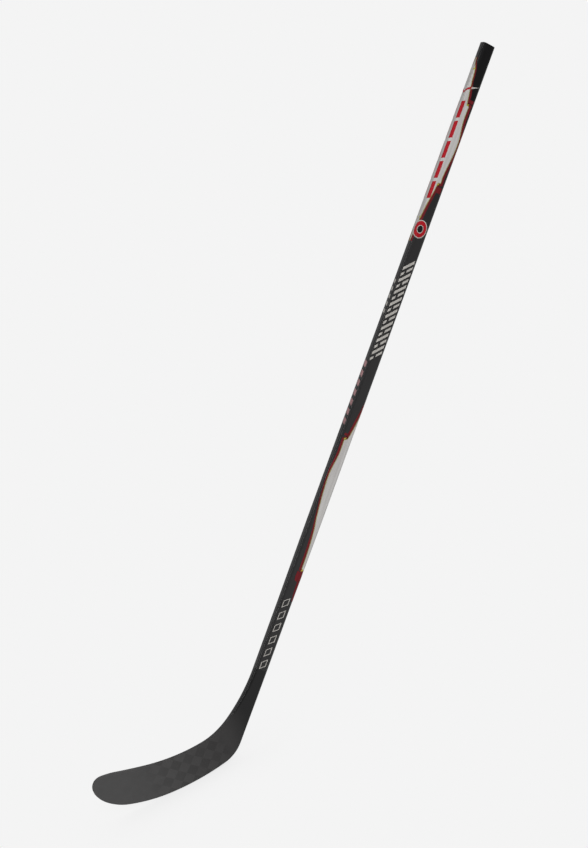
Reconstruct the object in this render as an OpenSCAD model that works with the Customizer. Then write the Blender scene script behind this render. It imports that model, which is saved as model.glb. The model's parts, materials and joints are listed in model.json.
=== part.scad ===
// Composite ice hockey stick, left-handed, standing on the ice in its playing pose.
// +Z is up from the ice, the blade points along -X, and +Y is the cupped forehand side.
// The origin is the point of the blade's lower edge that touches the ice.

/* [Shaft] */
// Length of the stick from the heel line to the butt end
shaft_l = 1524; // [1400:1:1620]
// Broad side of the shaft's section
shaft_w = 29.5; // [28:0.1:31]
// Narrow side of the shaft's section
shaft_t = 19.5; // [18.5:0.1:21]
// Corner radius of the shaft's section
shaft_r = 6.5; // [5:0.1:8]
// Wall of the shaft tube
wall = 1.75; // [1.5:0.05:2]
// How much the shaft slims on each side towards the blade
slimming = 0.75; // [0.3:0.05:1]
// Height above the heel line where the taper starts
taper_top = 500; // [460:1:560]
// Height above the heel line where the taper ends
taper_bottom = 330; // [320:1:400]

/* [Blade] */
// Angle between the shaft and the ice
lie = 45; // [44:0.5:46]
// Radius of the lengthways rocker of the lower edge
rocker_r = 900; // [700:10:1200]
// Distance along the blade from the heel line to the point that touches the ice
contact_s = 94; // [85:1:100]
// Height of the heel line's centre above the ice
heel_z = 13.8; // [12:0.1:16]
// Radius of the rounded heel
heel_r = 73; // [60:1:80]
// Height above the heel line where the throat starts to flare
throat_z = 181; // [170:1:181]
// Radius of the throat where it starts to flare
flare_r = 360; // [340:1:380]
// Radius of the throat's tighter part
throat_r = 154; // [145:1:165]
// Radius that the blade is curved to
bend_r = 600; // [500:10:900]
// Angle that the face is open at the toe
open_angle = 3; // [0:0.5:5]
// Half of the blade's thickness at the heel end
heel_half_t = 4.6; // [4:0.1:5]
// Half of the blade's thickness at the toe
toe_half_t = 2.4; // [2.2:0.1:3]

/* [Joint of shaft and blade] */
// Height above the heel line of the seam between shaft and hosel
seam_z = 182; // [182:1:200]
// Length of the tenon inside the shaft
tenon_l = 72; // [60:1:80]
// Wall of the tenon's laminate
tenon_wall = 1.2; // [1:0.1:1.5]
// Thickness of the layer of adhesive
glue_t = 0.2; // [0.15:0.01:0.3]

/* [Butt plug] */
// Thickness of the plug's flush cap
cap_t = 4; // [3:0.5:6]
// Length of the plug's hollow stem
stem_l = 48; // [35:1:60]
// Clearance between the plug and the tube
plug_gap = 0.08; // [0.05:0.01:0.1]

/* [Graphics] */
// Thickness of the printed film
film_t = 0.12; // [0.1:0.01:0.2]
// Width of the coloured trim beside each panel
trim_w = 5.2; // [3:0.1:6]
// Width of the pinline between panel and trim
pin_w = 1.4; // [1:0.1:2]

/* [Hidden] */

DEG = 180 / PI;
hosel_w = shaft_w - 2 * slimming;   // section near the blade
hosel_t = shaft_t - 2 * slimming;
hosel_r = shaft_r - slimming;
bond_gap = 0.03;        // space left between bonded pieces
film_gap = 0.01;        // space between the shaft and a film
cap_lip = 0.6;          // how far the cap's edge stands back from the tube's wall
stem_wall = 1.6;        // wall of the plug's stem
rib_t = 1.2;            // thickness of the plug's cross ribs
overwrap_t = 1.9;       // wall of the hosel's laminate
skin_t = 0.9;           // thickness of the blade's face skins
foam_gap = 0.1;         // resin-filled space between the skins and the foam
rim_w = 2.2;            // width of the blade's edge rim
inner_h = 66;           // usual height of the blade inside its rim
bridge_t = 1.4;         // thickness of the rib between the two foam cores
bridge_at = 0.52;       // height of that rib as a share of the blade's height
corner_steps = 4;       // facets in each rounded corner of the hosel and blade
mask_depth = 40;        // depth of a mask that prints through both broad faces
past_edge = 17;         // a mask that wraps a narrow face reaches this far out
badge_half_w = 15.5;    // half sizes of the badge's oval
badge_half_h = 19;
badge_ring = 1.6;       // width of the badge's outline
badge_centre = 9;       // distance from the badge's edge to its dark centre

// ---- Shaft ----

// All sections share their corners' centres, so that the taper is four cones and flat sides
corner_x = shaft_w / 2 - shaft_r;
corner_y = shaft_t / 2 - shaft_r;

module at_corners() {
    for (x = [-corner_x, corner_x], y = [-corner_y, corner_y]) translate([x, y]) children();
}

module section(r) {
    square(2 * [corner_x + r, corner_y], center = true);
    square(2 * [corner_x, corner_y + r], center = true);
    at_corners() circle(r, $fn = 64);
}

module shaft_section(grow) {
    section(shaft_r + grow);
}

module hosel_section(grow) {
    section(hosel_r + grow);
}

// A wedge-sided slab in X and Z, deep in Y
module taper_slab(bottom_x, top_x, depth) {
    rotate([90, 0, 0]) linear_extrude(depth, center = true)
        polygon([
            [-bottom_x, taper_bottom], [bottom_x, taper_bottom],
            [top_x, taper_top], [-top_x, taper_top]
        ]);
}

module taper_form(grow) {
    r1 = hosel_r + grow;
    r2 = shaft_r + grow;
    taper_slab(corner_x + r1, corner_x + r2, 2 * corner_y);
    rotate(90) taper_slab(corner_y + r1, corner_y + r2, 2 * corner_x);
    at_corners() translate([0, 0, taper_bottom]) cylinder(taper_top - taper_bottom, r1, r2, $fn = 64);
}

// The shaft's outer form along +Z from bottom to top, made thicker all round by grow
module shaft_form(grow, bottom, top) {
    translate([0, 0, taper_top]) linear_extrude(top - taper_top) shaft_section(grow);
    if (bottom < taper_bottom) {
        taper_form(grow);
        translate([0, 0, bottom]) linear_extrude(taper_bottom - bottom) hosel_section(grow);
    }
}

// Puts what is drawn along the shaft's own axis into the playing pose
module on_shaft() {
    translate([contact_x, -contact_y, heel_z]) rotate([0, 90 - lie, 0]) children();
}

module shaft_tube() {
    color("#26262a")
        on_shaft() difference() {
            shaft_form(0, seam_z + bond_gap, shaft_l);
            shaft_form(-wall, seam_z - 1, shaft_l + 1);
        }
}

module butt_plug() {
    stem_grow = -wall - plug_gap;
    color("#141416")
        on_shaft() translate([0, 0, shaft_l - cap_t]) {
            linear_extrude(cap_t) shaft_section(stem_grow);
            translate([0, 0, -stem_l]) linear_extrude(stem_l) difference() {
                shaft_section(stem_grow - cap_lip);
                shaft_section(stem_grow - cap_lip - stem_wall);
            }
            translate([0, 0, -stem_l]) linear_extrude(stem_l) intersection() {
                shaft_section(stem_grow - cap_lip);
                for (a = [0, 90]) rotate(a) square([shaft_w, rib_t], center = true);
            }
            for (z = [-stem_l : stem_l / 3 : -stem_l / 3])
                translate([0, 0, z]) linear_extrude(rib_t) difference() {
                    shaft_section(stem_grow);
                    shaft_section(stem_grow - cap_lip - stem_wall / 2);
                }
        }
}

// ---- Tenon that joins blade and shaft ----

tenon_grow = -wall - glue_t - bond_gap;

module tenon_foam() {
    grow = tenon_grow - tenon_wall - bond_gap;
    color("#cfc7b4")
        on_shaft() translate([0, 0, throat_z + bond_gap])
            linear_extrude(seam_z + tenon_l - throat_z - bond_gap) hosel_section(grow);
}

module tenon_laminate() {
    color("#3a3a3e")
        on_shaft() translate([0, 0, throat_z + bond_gap])
            linear_extrude(seam_z + tenon_l - throat_z - bond_gap) difference() {
                hosel_section(tenon_grow);
                hosel_section(tenon_grow - tenon_wall);
            }
}

module tenon_adhesive() {
    color("#b9a468")
        on_shaft() translate([0, 0, seam_z + bond_gap])
            linear_extrude(tenon_l - 2 * bond_gap) difference() {
                hosel_section(-wall - bond_gap / 2);
                hosel_section(-wall - glue_t);
            }
}

// ---- Outline of hosel and blade ----
// Both edges run from the seam to the toe as a chain of straight and round stretches.
// A straight is [0, length] and an arc is [radius, turn], positive turns being upward.
// A place on an edge is [s, z, heading]: s along the blade from the heel line, z above the ice.

function stretch_length(g) = g[0] == 0 ? g[1] : abs(g[0] * g[1]) / DEG;

function stretch_at(p, g, l) =
    g[0] == 0
    ? [p[0] + l * cos(p[2]), p[1] + l * sin(p[2]), p[2]]
    : let (r = g[0] * sign(g[1]), h = p[2] + l / r * DEG)
      [p[0] + r * (sin(h) - sin(p[2])), p[1] + r * (cos(p[2]) - cos(h)), h];

function chain_length(c, n) = n == 0 ? 0 : stretch_length(c[n - 1]) + chain_length(c, n - 1);

function chain_at(p, c, l, i = 0) =
    let (n = stretch_length(c[i]))
    l <= n || i == len(c) - 1
    ? stretch_at(p, c[i], min(l, n))
    : chain_at(stretch_at(p, c[i], n), c, l - n, i + 1);

up_shaft = [-cos(lie), sin(lie)];
to_toe = [sin(lie), cos(lie)];

function shaft_side(side, z) =
    let (q = [0, heel_z] + side * hosel_w / 2 * to_toe + z * up_shaft) [q[0], q[1], -lie];

// The heel's arc touches the back of the shaft and the rocker's circle
rocker_centre = [contact_s, rocker_r];
heel_a = [0, heel_z] + (heel_r - hosel_w / 2) * to_toe - rocker_centre;
heel_b = heel_a * up_shaft;
heel_start_z = -heel_b - sqrt(heel_b * heel_b - heel_a * heel_a + (rocker_r - heel_r) ^ 2);
heel_centre = heel_a + heel_start_z * up_shaft;
heel_heading = asin(heel_centre[0] / (rocker_r - heel_r));

rocker_end = 2.7;       // heading where the toe starts to lift
lower_start = shaft_side(-1, seam_z);
lower_chain = [
    [0, seam_z - heel_start_z],
    [heel_r, lie + heel_heading],
    [rocker_r, rocker_end - heel_heading],
    [408, 12.2],
    [91, 28.6],
    [53.5, 36]
];

upper_start = shaft_side(1, seam_z);
top_rise = 12.8;        // heading of the top edge before the toe
flare_turn = 18;        // how far the throat turns before it tightens
function upper_chain(straight) = [
    [0, seam_z - throat_z],
    [flare_r, flare_turn],
    [throat_r, lie - flare_turn],
    [545, top_rise],
    [0, straight],
    [128, -14],
    [26.5, -95]
];
function chain_end(p, c) = chain_at(p, c, chain_length(c, len(c)));
toe_s = chain_end(lower_start, lower_chain)[0];
top_straight = (toe_s - chain_end(upper_start, upper_chain(0))[0]) / cos(top_rise);
top_chain = upper_chain(top_straight);
throat_end = chain_at(upper_start, top_chain, chain_length(top_chain, 3));

// Stations u: 0 at the seam, 1 where the throat starts, 2 where it ends, 3 before the toe, 4 at the toe
function rocker_length(s) =
    chain_length(lower_chain, 2) + rocker_r * (asin((s - contact_s) / rocker_r) - heel_heading) / DEG;
lower_knots = [
    [0, 0],
    [1, seam_z - throat_z],
    [2, rocker_length(throat_end[0])],
    [3, chain_length(lower_chain, 4)],
    [4, chain_length(lower_chain, 6)]
];
upper_knots = [
    [0, 0],
    [1, seam_z - throat_z],
    [2, chain_length(top_chain, 3)],
    [3, chain_length(top_chain, 5)],
    [4, chain_length(top_chain, 7)]
];

// A place on the lower or upper edge at station u, moved inward by inset
function lower_at(u, inset = 0) =
    let (p = chain_at(lower_start, lower_chain, lookup(u, lower_knots)))
    [p[0] - inset * sin(p[2]), p[1] + inset * cos(p[2])];
function upper_at(u, inset = 0) =
    let (p = chain_at(upper_start, top_chain, lookup(u, upper_knots)))
    [p[0] + inset * sin(p[2]), p[1] - inset * cos(p[2])];

// Half of the thickness, and the radius of the edges
half_t_knots = [[1, hosel_t / 2], [1.5, 7], [2, heel_half_t], [3, toe_half_t + 0.4], [4, toe_half_t]];
edge_r_knots = [[1, hosel_r], [1.5, 4.5], [2, 2.6], [4, 2]];

// ---- Curve of the blade ----

contact_y = bend_r - bend_r * cos(contact_s / bend_r * DEG);
contact_x = bend_r * sin(contact_s / bend_r * DEG);

// Bends a point of the flat blade, w off its middle, to the blade's curve and opens the face
function bent(p, w) =
    let (
        a = max(p[0], 0) / bend_r * DEG,
        open = p[1] * tan(open_angle * max(p[0], 0) / toe_s),
        x = min(p[0], 0) + (bend_r - w) * sin(a)
    )
    [contact_x - x, bend_r - (bend_r - w) * cos(a) - open - contact_y, p[1]];

// ---- Lofted solids ----

// Closes a list of loops, each with as many points, into one solid.
// Flipped, its sides are split along their other diagonals, so that they match a solid inside them.
module loft(loops, flipped = false) {
    n = len(loops[0]);
    m = len(loops);
    polyhedron(
        [for (loop = loops) each loop],
        concat(
            [for (j = [0 : m - 2], i = [0 : n - 1])
                let (a = j * n + i, b = j * n + (i + 1) % n)
                each flipped ? [[a, b, a + n], [b, b + n, a + n]] : [[a, b, b + n], [a, b + n, a + n]]],
            [[for (i = [n - 1 : -1 : 0]) i]],
            [[for (i = [0 : n - 1]) (m - 1) * n + i]]
        )
    );
}

// A hollow solid between outer loops and inner loops
module loft_tube(outer, inner) {
    n = len(outer[0]);
    m = len(outer);
    polyhedron(
        concat([for (loop = outer) each loop], [for (loop = inner) each loop]),
        concat(
            [for (j = [0 : m - 2], i = [0 : n - 1])
                let (a = j * n + i, b = j * n + (i + 1) % n) each [[a, b, b + n], [a, b + n, a + n]]],
            [for (j = [0 : m - 2], i = [0 : n - 1])
                let (a = (m + j) * n + i, b = (m + j) * n + (i + 1) % n)
                each [[a, b + n, b], [a, a + n, b + n]]],
            [for (i = [0 : n - 1])
                let (a = i, b = (i + 1) % n, c = m * n) each [[a, b + c, b], [a, a + c, b + c]]],
            [for (i = [0 : n - 1])
                let (e = (m - 1) * n, a = e + i, b = e + (i + 1) % n, c = m * n)
                each [[a, b, b + c], [a, b + c, a + c]]]
        )
    );
}

// Rounded section at station u, made smaller all round by inset
function section_loop(u, inset) =
    let (
        p = lower_at(u),
        q = upper_at(u),
        across = norm(q - p),
        dir = (q - p) / across,
        t = lookup(u, half_t_knots) - inset,
        r = min(lookup(u, edge_r_knots), lookup(u, half_t_knots)) - inset
    )
    [for (corner = [0 : 3], k = [0 : corner_steps])
        let (
            a = 90 * (corner + k / corner_steps),
            far = corner == 0 || corner == 3,
            y = (far ? across - inset - r : inset + r) + r * cos(a),
            w = (corner < 2 ? t - r : r - t) + r * sin(a)
        )
        bent(p + y * dir, w)];

// Section between two depths, through rising shares of the blade's height
function slab_loop(u, shares, w0, w1) =
    let (
        p = lower_at(u, rim_w + bond_gap),
        q = upper_at(u, rim_w + bond_gap)
    )
    concat(
        [for (i = [len(shares) - 1 : -1 : 0]) bent(p + shares[i] * (q - p), w1)],
        [for (v = shares) bent(p + v * (q - p), w0)]
    );

hosel_stations = concat([0], [for (i = [0 : 12]) 1 + i / 12]);
blade_start = 2.002;
blade_stations = concat([blade_start], [for (i = [1 : 12]) 2 + i / 12], [for (i = [1 : 12]) 3 + i / 12]);

module hosel_overwrap() {
    color("#2c2c30")
        loft_tube(
            [for (u = hosel_stations) section_loop(u, 0)],
            [for (u = hosel_stations) section_loop(u, overwrap_t)]
        );
}

module hosel_core() {
    color("#d8d2c2")
        loft([for (i = [0 : 12]) section_loop(1 + i / 12, overwrap_t + bond_gap)]);
}

core_gap = foam_gap / inner_h;              // shares of the blade's height
bridge_half = bridge_t / 2 / inner_h;
lower_mid = bridge_at / 2;
upper_mid = (1 + bridge_at) / 2;

module blade_face(side) {
    loft(
        [for (u = blade_stations)
            let (t = side * lookup(u, half_t_knots), inner = t - side * skin_t)
            slab_loop(u, [0, lower_mid, bridge_at, upper_mid, 1], min(t, inner), max(t, inner))],
        flipped = true
    );
}

module blade_foam(shares) {
    loft([for (u = blade_stations)
        let (t = lookup(u, half_t_knots) - skin_t - foam_gap)
        slab_loop(u, shares, -t, t)]);
}

module blade_backhand_skin() {
    color("#3b3b3e") blade_face(-1);
}

module blade_forehand_skin() {
    color("#414145") blade_face(1);
}

module blade_lower_core() {
    color("#e0dac8") blade_foam([core_gap, lower_mid, bridge_at - bridge_half - core_gap]);
}

module blade_upper_core() {
    color("#d2ccb8") blade_foam([bridge_at + bridge_half + core_gap, upper_mid, 1 - core_gap]);
}

module blade_bridge_rib() {
    color("#55555a") blade_foam([bridge_at - bridge_half, bridge_at + bridge_half]);
}

// Section of the rim at a place on the edge: rounded outside, square inside
function rim_loop(u, upper) =
    let (t = lookup(u, half_t_knots), r = min(lookup(u, edge_r_knots), rim_w))
    concat(
        [for (k = [0 : corner_steps])
            let (a = 90 * k / corner_steps, d = r * (1 - sin(a)))
            bent(upper ? upper_at(u, d) : lower_at(u, d), t - r + r * cos(a))],
        [for (k = [corner_steps : -1 : 0])
            let (a = 90 * k / corner_steps, d = r * (1 - sin(a)))
            bent(upper ? upper_at(u, d) : lower_at(u, d), r - t - r * cos(a))],
        [for (w = [-t, t]) bent(upper ? upper_at(u, rim_w) : lower_at(u, rim_w), w)]
    );

module blade_edge_rim() {
    last = len(blade_stations) - 1;
    color("#333337")
        loft(concat(
            [for (i = [0 : last]) rim_loop(blade_stations[i], false)],
            [for (i = [last : -1 : 0]) rim_loop(blade_stations[i], true)]
        ));
}

// ---- Printed films ----
// A film lies on the shaft where a mask, drawn in the shaft's X and Z, passes through it.
// Layer 0 lies on the shaft and layer 1 on top of layer 0.

module film(layer = 0, bottom = taper_top) {
    base = film_gap + layer * (film_t + film_gap);
    on_shaft() intersection() {
        difference() {
            shaft_form(base + film_t, bottom, shaft_l - 1);
            shaft_form(base, bottom - 1, shaft_l);
        }
        children();
    }
}

// Prints on both broad faces, and round a narrow face where it reaches that far
module mask() {
    rotate([90, 0, 0]) linear_extrude(mask_depth, center = true) children();
}

// Prints on the backhand face only
module backhand_mask() {
    translate([0, -mask_depth / 2, 0]) mask() children();
}

// Prints on the toe-side narrow face, from a drawing in Y and Z
module edge_mask() {
    translate([-shaft_w / 2 - 1, 0, 0]) rotate([90, 0, 90]) linear_extrude(2) children();
}

// A bar from x0 to x1 that starts at z, climbs by rise and is stroke high
module slanted_bar(x0, x1, z, rise, stroke) {
    polygon([[x0, z], [x1, z + rise], [x1, z + rise + stroke], [x0, z + stroke]]);
}

// Each panel's border as [x, z], from its upper end to its lower end
upper_border = [
    [-15.5, 1503], [-14.6, 1478], [-13.5, 1467], [-12.2, 1445], [-8.9, 1421], [-4.2, 1393],
    [1.6, 1392], [0.9, 1372], [2.1, 1352], [6.9, 1322], [6.3, 1292], [0.4, 1242], [1, 1228],
    [-5, 1226], [-6.8, 1211], [-11.6, 1180], [-past_edge, 1100]
];
lower_border = [
    [past_edge, 754], [6.9, 696], [3.2, 678], [-3.9, 675], [-3.9, 645], [-9.1, 605],
    [-8.3, 564], [2.2, 484], [6.4, 423], [6.6, 402], [13, 398], [past_edge, 396]
];

// The band beside a border, between two distances from it along X
module border_band(border, near, far) {
    last = len(border) - 1;
    mask() polygon(concat(
        [for (p = border) p + [near, 0]],
        [for (i = [last : -1 : 0]) border[i] + [far, 0]]
    ));
}

module upper_panel_decal() {
    color("#a8a5a3") film() border_band(upper_border, -bond_gap, -2 * past_edge);
}

module upper_pinline_decal() {
    color("#8c8a5c") film() border_band(upper_border, 0, pin_w);
}

// The trim fills the corners at the border's notches
module upper_trim_decal() {
    color("#68242c") film() {
        border_band(upper_border, pin_w + bond_gap, pin_w + trim_w);
        mask() {
            polygon([[-1.5, 1394.5], [4, 1392.6], [9.5, 1392.6], [9.5, 1406], [-3.5, 1406]]);
            polygon([[-3, 1220], [0.5, 1225.9], [7.2, 1228.2], [9, 1222], [9, 1206], [-4, 1206]]);
        }
    }
}

module lower_panel_decal() {
    color("#a8a5a3") film(0, seam_z + 1) border_band(lower_border, bond_gap, 2 * past_edge);
}

module lower_pinline_decal() {
    color("#8c8a5c") film(0, seam_z + 1) border_band(lower_border, 0, -pin_w);
}

// The trim runs on below the panel as a block and a slim tail along the heel-side edge
module lower_trim_decal() {
    color("#68242c") film(0, seam_z + 1) {
        border_band(lower_border, -pin_w - bond_gap, -pin_w - trim_w);
        mask() {
            polygon([[0, 690.5], [-9.5, 690.5], [-10, 676], [-7, 676.2], [-2.5, 679], [0, 684]]);
            polygon([
                [-2.2, 396], [0.5, 402], [7, 398], [10.5, 396.1], [past_edge, 394], [past_edge, 312],
                [13.8, 312], [9, 334], [7.5, 346], [6.2, 360], [5.6, 373.5], [-1.6, 376]
            ]);
        }
    }
}

// Yellow flecks where the borders turn, each at its [x, z]
module accent_decal() {
    half_w = 2.2;
    color("#c9c23a") film(1, seam_z + 1) mask()
        for (p = [[-13.8, 1464], [-1.5, 1391], [-3.5, 1219], [-14, 1147], [-4, 676], [7.5, 396]])
            translate(p) slanted_bar(-half_w, half_w, 0, 2.4, 3);
}

// Plain oval badge on the backhand face, reaching round the toe-side corner
module badge_oval(inset) {
    w = badge_half_w - inset;
    h = badge_half_h - inset;
    translate([-6.5, 1126]) polygon([for (a = [0 : 7.5 : 352.5]) [w * cos(a), h * sin(a)]]);
}

module badge_outline_decal() {
    color("#b9b4b0") film(1) backhand_mask() difference() {
        badge_oval(0);
        badge_oval(badge_ring);
    }
}

module badge_field_decal() {
    color("#951f27") film(1) backhand_mask() difference() {
        badge_oval(badge_ring + bond_gap);
        badge_oval(badge_centre);
    }
}

module badge_centre_decal() {
    color("#222224") film(1) backhand_mask() badge_oval(badge_centre + bond_gap);
}

// Red dashes along the toe-side corner
module corner_dashes_decal() {
    pitch = 43;
    dash_l = 36;
    color("#a12b36") film(1) mask()
        for (i = [0 : 4]) translate([0, 1189 + i * pitch]) slanted_bar(-14.4, -9.4, 0, 3, dash_l);
}

// Stroke that runs across the toe-side narrow face and tapers off on the broad faces
cross_x = -7;           // where the stroke's red part ends
cross_z = 1426;
cross_t = 4.5;          // its thickness there

module cross_stroke_decal() {
    color("#a12b36") film(1) mask() slanted_bar(-past_edge, cross_x, cross_z - 14, 14, cross_t);
}

module cross_tip_decal() {
    color("#b9b4b0") film(1) mask()
        polygon([
            [cross_x + bond_gap, cross_z],
            [11, cross_z + cross_t + 5],
            [cross_x + bond_gap, cross_z + cross_t]
        ]);
}

// Long and short slanted bars in turn along the broad faces
module block_marks_decal() {
    pitch = 25.8;
    color("#a09e9a") film() mask()
        for (i = [0 : 7]) translate([0, 850.5 + i * pitch]) {
            slanted_bar(-12.4, 8.6, 5, 20.5, 7);
            slanted_bar(-2.5, 8.6, 2.8, 10.5, 6);
            slanted_bar(-12.4, -6.8, -7.4, 5.8, 6);
        }
}

// Fine open frames along the slim end of the shaft
module thin_marks_decal() {
    pitch = 26.3;
    color("#919191") film(0, seam_z + 1) mask()
        for (i = [0 : 5]) translate([0, 183.5 + i * pitch]) difference() {
            slanted_bar(-8, 4.6, 0, 8.4, 15);
            slanted_bar(-6.5, 3.1, 2.8, 6.4, 11.4);
        }
}

// Pale bars on the toe-side narrow face
module edge_bars_decal() {
    pitch = 16;
    color("#a5a3a0") film() edge_mask()
        for (i = [0 : 4]) slanted_bar(-2.6, 2.6, 942 + i * pitch, 3, 8);
}

// Red dashes on the toe-side narrow face
module edge_dashes_decal() {
    pitch = 20.5;
    color("#9c6d6f") film() edge_mask()
        for (i = [0 : 6]) slanted_bar(-5.4, 3, 704 + i * pitch, 4, 12);
}

shaft_tube();
butt_plug();
tenon_foam();
tenon_laminate();
tenon_adhesive();
hosel_overwrap();
hosel_core();
blade_upper_core();
blade_lower_core();
blade_bridge_rib();
blade_backhand_skin();
blade_forehand_skin();
blade_edge_rim();
upper_panel_decal();
upper_trim_decal();
upper_pinline_decal();
lower_panel_decal();
lower_trim_decal();
lower_pinline_decal();
badge_outline_decal();
badge_field_decal();
badge_centre_decal();
corner_dashes_decal();
cross_stroke_decal();
cross_tip_decal();
accent_decal();
block_marks_decal();
thin_marks_decal();
edge_bars_decal();
edge_dashes_decal();
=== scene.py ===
"""Composite ice hockey stick: visible pieces, materials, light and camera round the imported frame.

Sizes are in millimetres in the stick's own coordinates, and place_shaft() and place_blade() turn them into
metres in the frame. On the shaft, z runs up from the heel line and c runs round the section: c is x on the
backhand face, falls past the toe-side narrow face, and reaches the forehand face at still lower values.
"""

import json
import math

import bmesh
import bpy
from mathutils import Matrix, Vector


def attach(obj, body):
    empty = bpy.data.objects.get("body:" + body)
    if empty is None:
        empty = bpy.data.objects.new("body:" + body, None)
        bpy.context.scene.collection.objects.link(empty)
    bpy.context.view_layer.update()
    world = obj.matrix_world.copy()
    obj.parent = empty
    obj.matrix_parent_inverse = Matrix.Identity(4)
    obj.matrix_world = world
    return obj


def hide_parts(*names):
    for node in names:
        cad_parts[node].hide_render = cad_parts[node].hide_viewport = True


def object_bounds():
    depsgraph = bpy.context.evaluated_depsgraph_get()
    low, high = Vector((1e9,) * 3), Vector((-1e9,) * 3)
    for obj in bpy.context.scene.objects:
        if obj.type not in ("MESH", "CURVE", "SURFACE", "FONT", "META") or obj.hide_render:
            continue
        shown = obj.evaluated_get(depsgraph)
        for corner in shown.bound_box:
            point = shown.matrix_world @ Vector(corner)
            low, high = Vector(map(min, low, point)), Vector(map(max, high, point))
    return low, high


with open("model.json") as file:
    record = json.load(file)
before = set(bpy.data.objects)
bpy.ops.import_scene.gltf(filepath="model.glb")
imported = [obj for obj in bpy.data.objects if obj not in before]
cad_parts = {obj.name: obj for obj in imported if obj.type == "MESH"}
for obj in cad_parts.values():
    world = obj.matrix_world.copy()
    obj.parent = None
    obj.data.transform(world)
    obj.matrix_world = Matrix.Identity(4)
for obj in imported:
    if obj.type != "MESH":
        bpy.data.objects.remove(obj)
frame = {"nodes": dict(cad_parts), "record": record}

cad_low, cad_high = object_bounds()

MM = 0.001
DEG = math.pi / 180

# ---- The stick's dimensions, in millimetres and degrees ----

SHAFT_L = 1524.0        # heel line to butt end
SHAFT_R = 6.5           # corner radius of the shaft's section
CORNER_X = 8.25         # corner centres, off the shaft's axis
CORNER_Y = 3.25
SLIMMING = 0.75         # what the corner radius loses over the taper
TAPER_TOP = 500.0
TAPER_BOTTOM = 330.0
WALL = 1.75
SEAM_Z = 182.0          # the shaft ends and the hosel starts here

LIE = 45.0              # angle between shaft and ice
HEEL_Z = 13.8           # height above the ice at which the shaft's axis meets the heel line
ROCKER_R = 900.0
CONTACT_S = 94.0        # the rocker touches the ice here
HEEL_R = 73.0
THROAT_Z = 181.0        # the upper edge starts to flare here
FLARE_R = 360.0
FLARE_TURN = 18.0
THROAT_R = 154.0
BEND_R = 600.0          # radius of the blade's curve
OPEN_ANGLE = 3.0        # how far the face is opened at the toe
HEEL_HALF_T = 4.6       # half the blade's thickness
TOE_HALF_T = 2.4
OVERWRAP_T = 1.9
SKIN_T = 0.9
RIM_W = 2.2
BOND_GAP = 0.03

CAP_T = 4.0
STEM_L = 48.0
PLUG_GAP = 0.08
FILM_T = 0.12
FILM_GAP = 0.01

# ---- Placing in the frame ----

mounts = {m["name"]: m for m in frame["record"]["mounts"]}
EZ = Vector(mounts["butt_end"]["axis"]).normalized()
EY = Vector((0, 1, 0))
EX = EY.cross(EZ)
HEEL = Vector(mounts["butt_end"]["pos_m"]) - EZ * SHAFT_L * MM
CONTACT_X = BEND_R * math.sin(CONTACT_S / BEND_R)
CONTACT_Y = BEND_R - BEND_R * math.cos(CONTACT_S / BEND_R)


def place_shaft(x, y, z):
    return HEEL + (EX * x + EY * y + EZ * z) * MM


def shaft_radius(z):
    """Corner radius of the shaft's section at height z."""
    share = (TAPER_TOP - z) / (TAPER_TOP - TAPER_BOTTOM)
    return SHAFT_R - SLIMMING * min(max(share, 0), 1)


def wrap(c, z, h=0.0):
    """The point h above the shaft's surface at c round the section and z along the shaft."""
    r = shaft_radius(z)
    quarter = r * math.pi / 2
    half = 2 * (CORNER_X + CORNER_Y + quarter)
    c = (c + half) % (2 * half) - half
    side = 1
    if c > CORNER_X:
        c, side = -c, -1
    if c >= -CORNER_X:
        return place_shaft(side * c, -CORNER_Y - r - h, z)
    d = -CORNER_X - c
    if d < quarter:
        x = -CORNER_X - (r + h) * math.sin(d / r)
        return place_shaft(side * x, -CORNER_Y - (r + h) * math.cos(d / r), z)
    d -= quarter
    if d < 2 * CORNER_Y:
        return place_shaft(side * (-CORNER_X - r - h), d - CORNER_Y, z)
    d -= 2 * CORNER_Y
    if d < quarter:
        x = -CORNER_X - (r + h) * math.cos(d / r)
        return place_shaft(side * x, CORNER_Y + (r + h) * math.sin(d / r), z)
    return place_shaft(side * (d - quarter - CORNER_X), CORNER_Y + r + h, z)


def edge_c(y, z):
    """c of the place on the toe-side narrow face at depth y."""
    return -CORNER_X - shaft_radius(z) * math.pi / 2 - CORNER_Y - y


# ---- Outline of hosel and blade ----
# An edge is a chain of stretches from the seam to the toe. A straight is (0, length) and an arc is
# (radius, turn in degrees), turning up if positive.
# A place on it is (s, z, heading), s along the blade from the heel line and z above the ice.


def stretch_length(stretch):
    r, turn = stretch
    return turn if r == 0 else abs(r * turn) * DEG


def stretch_at(p, stretch, length):
    s, z, heading = p
    r, turn = stretch
    if r == 0:
        return s + length * math.cos(heading * DEG), z + length * math.sin(heading * DEG), heading
    r = math.copysign(r, turn)
    end = heading + length / r / DEG
    return (
        s + r * (math.sin(end * DEG) - math.sin(heading * DEG)),
        z + r * (math.cos(heading * DEG) - math.cos(end * DEG)),
        end,
    )


def chain_length(chain, count):
    return sum(stretch_length(stretch) for stretch in chain[:count])


def chain_at(start, chain, length):
    p = start
    for stretch in chain[:-1]:
        n = stretch_length(stretch)
        if length <= n:
            return stretch_at(p, stretch, length)
        p = stretch_at(p, stretch, n)
        length -= n
    return stretch_at(p, chain[-1], length)


def asin_deg(x):
    return math.asin(x) / DEG


UP_SHAFT = Vector((-math.cos(LIE * DEG), math.sin(LIE * DEG)))
TO_TOE = Vector((math.sin(LIE * DEG), math.cos(LIE * DEG)))
HOSEL_HALF_W = CORNER_X + SHAFT_R - SLIMMING
HOSEL_HALF_T = CORNER_Y + SHAFT_R - SLIMMING
HEEL_POINT = Vector((0, HEEL_Z))


def shaft_side(side, z):
    q = HEEL_POINT + side * HOSEL_HALF_W * TO_TOE + z * UP_SHAFT
    return q.x, q.y, -LIE


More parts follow.
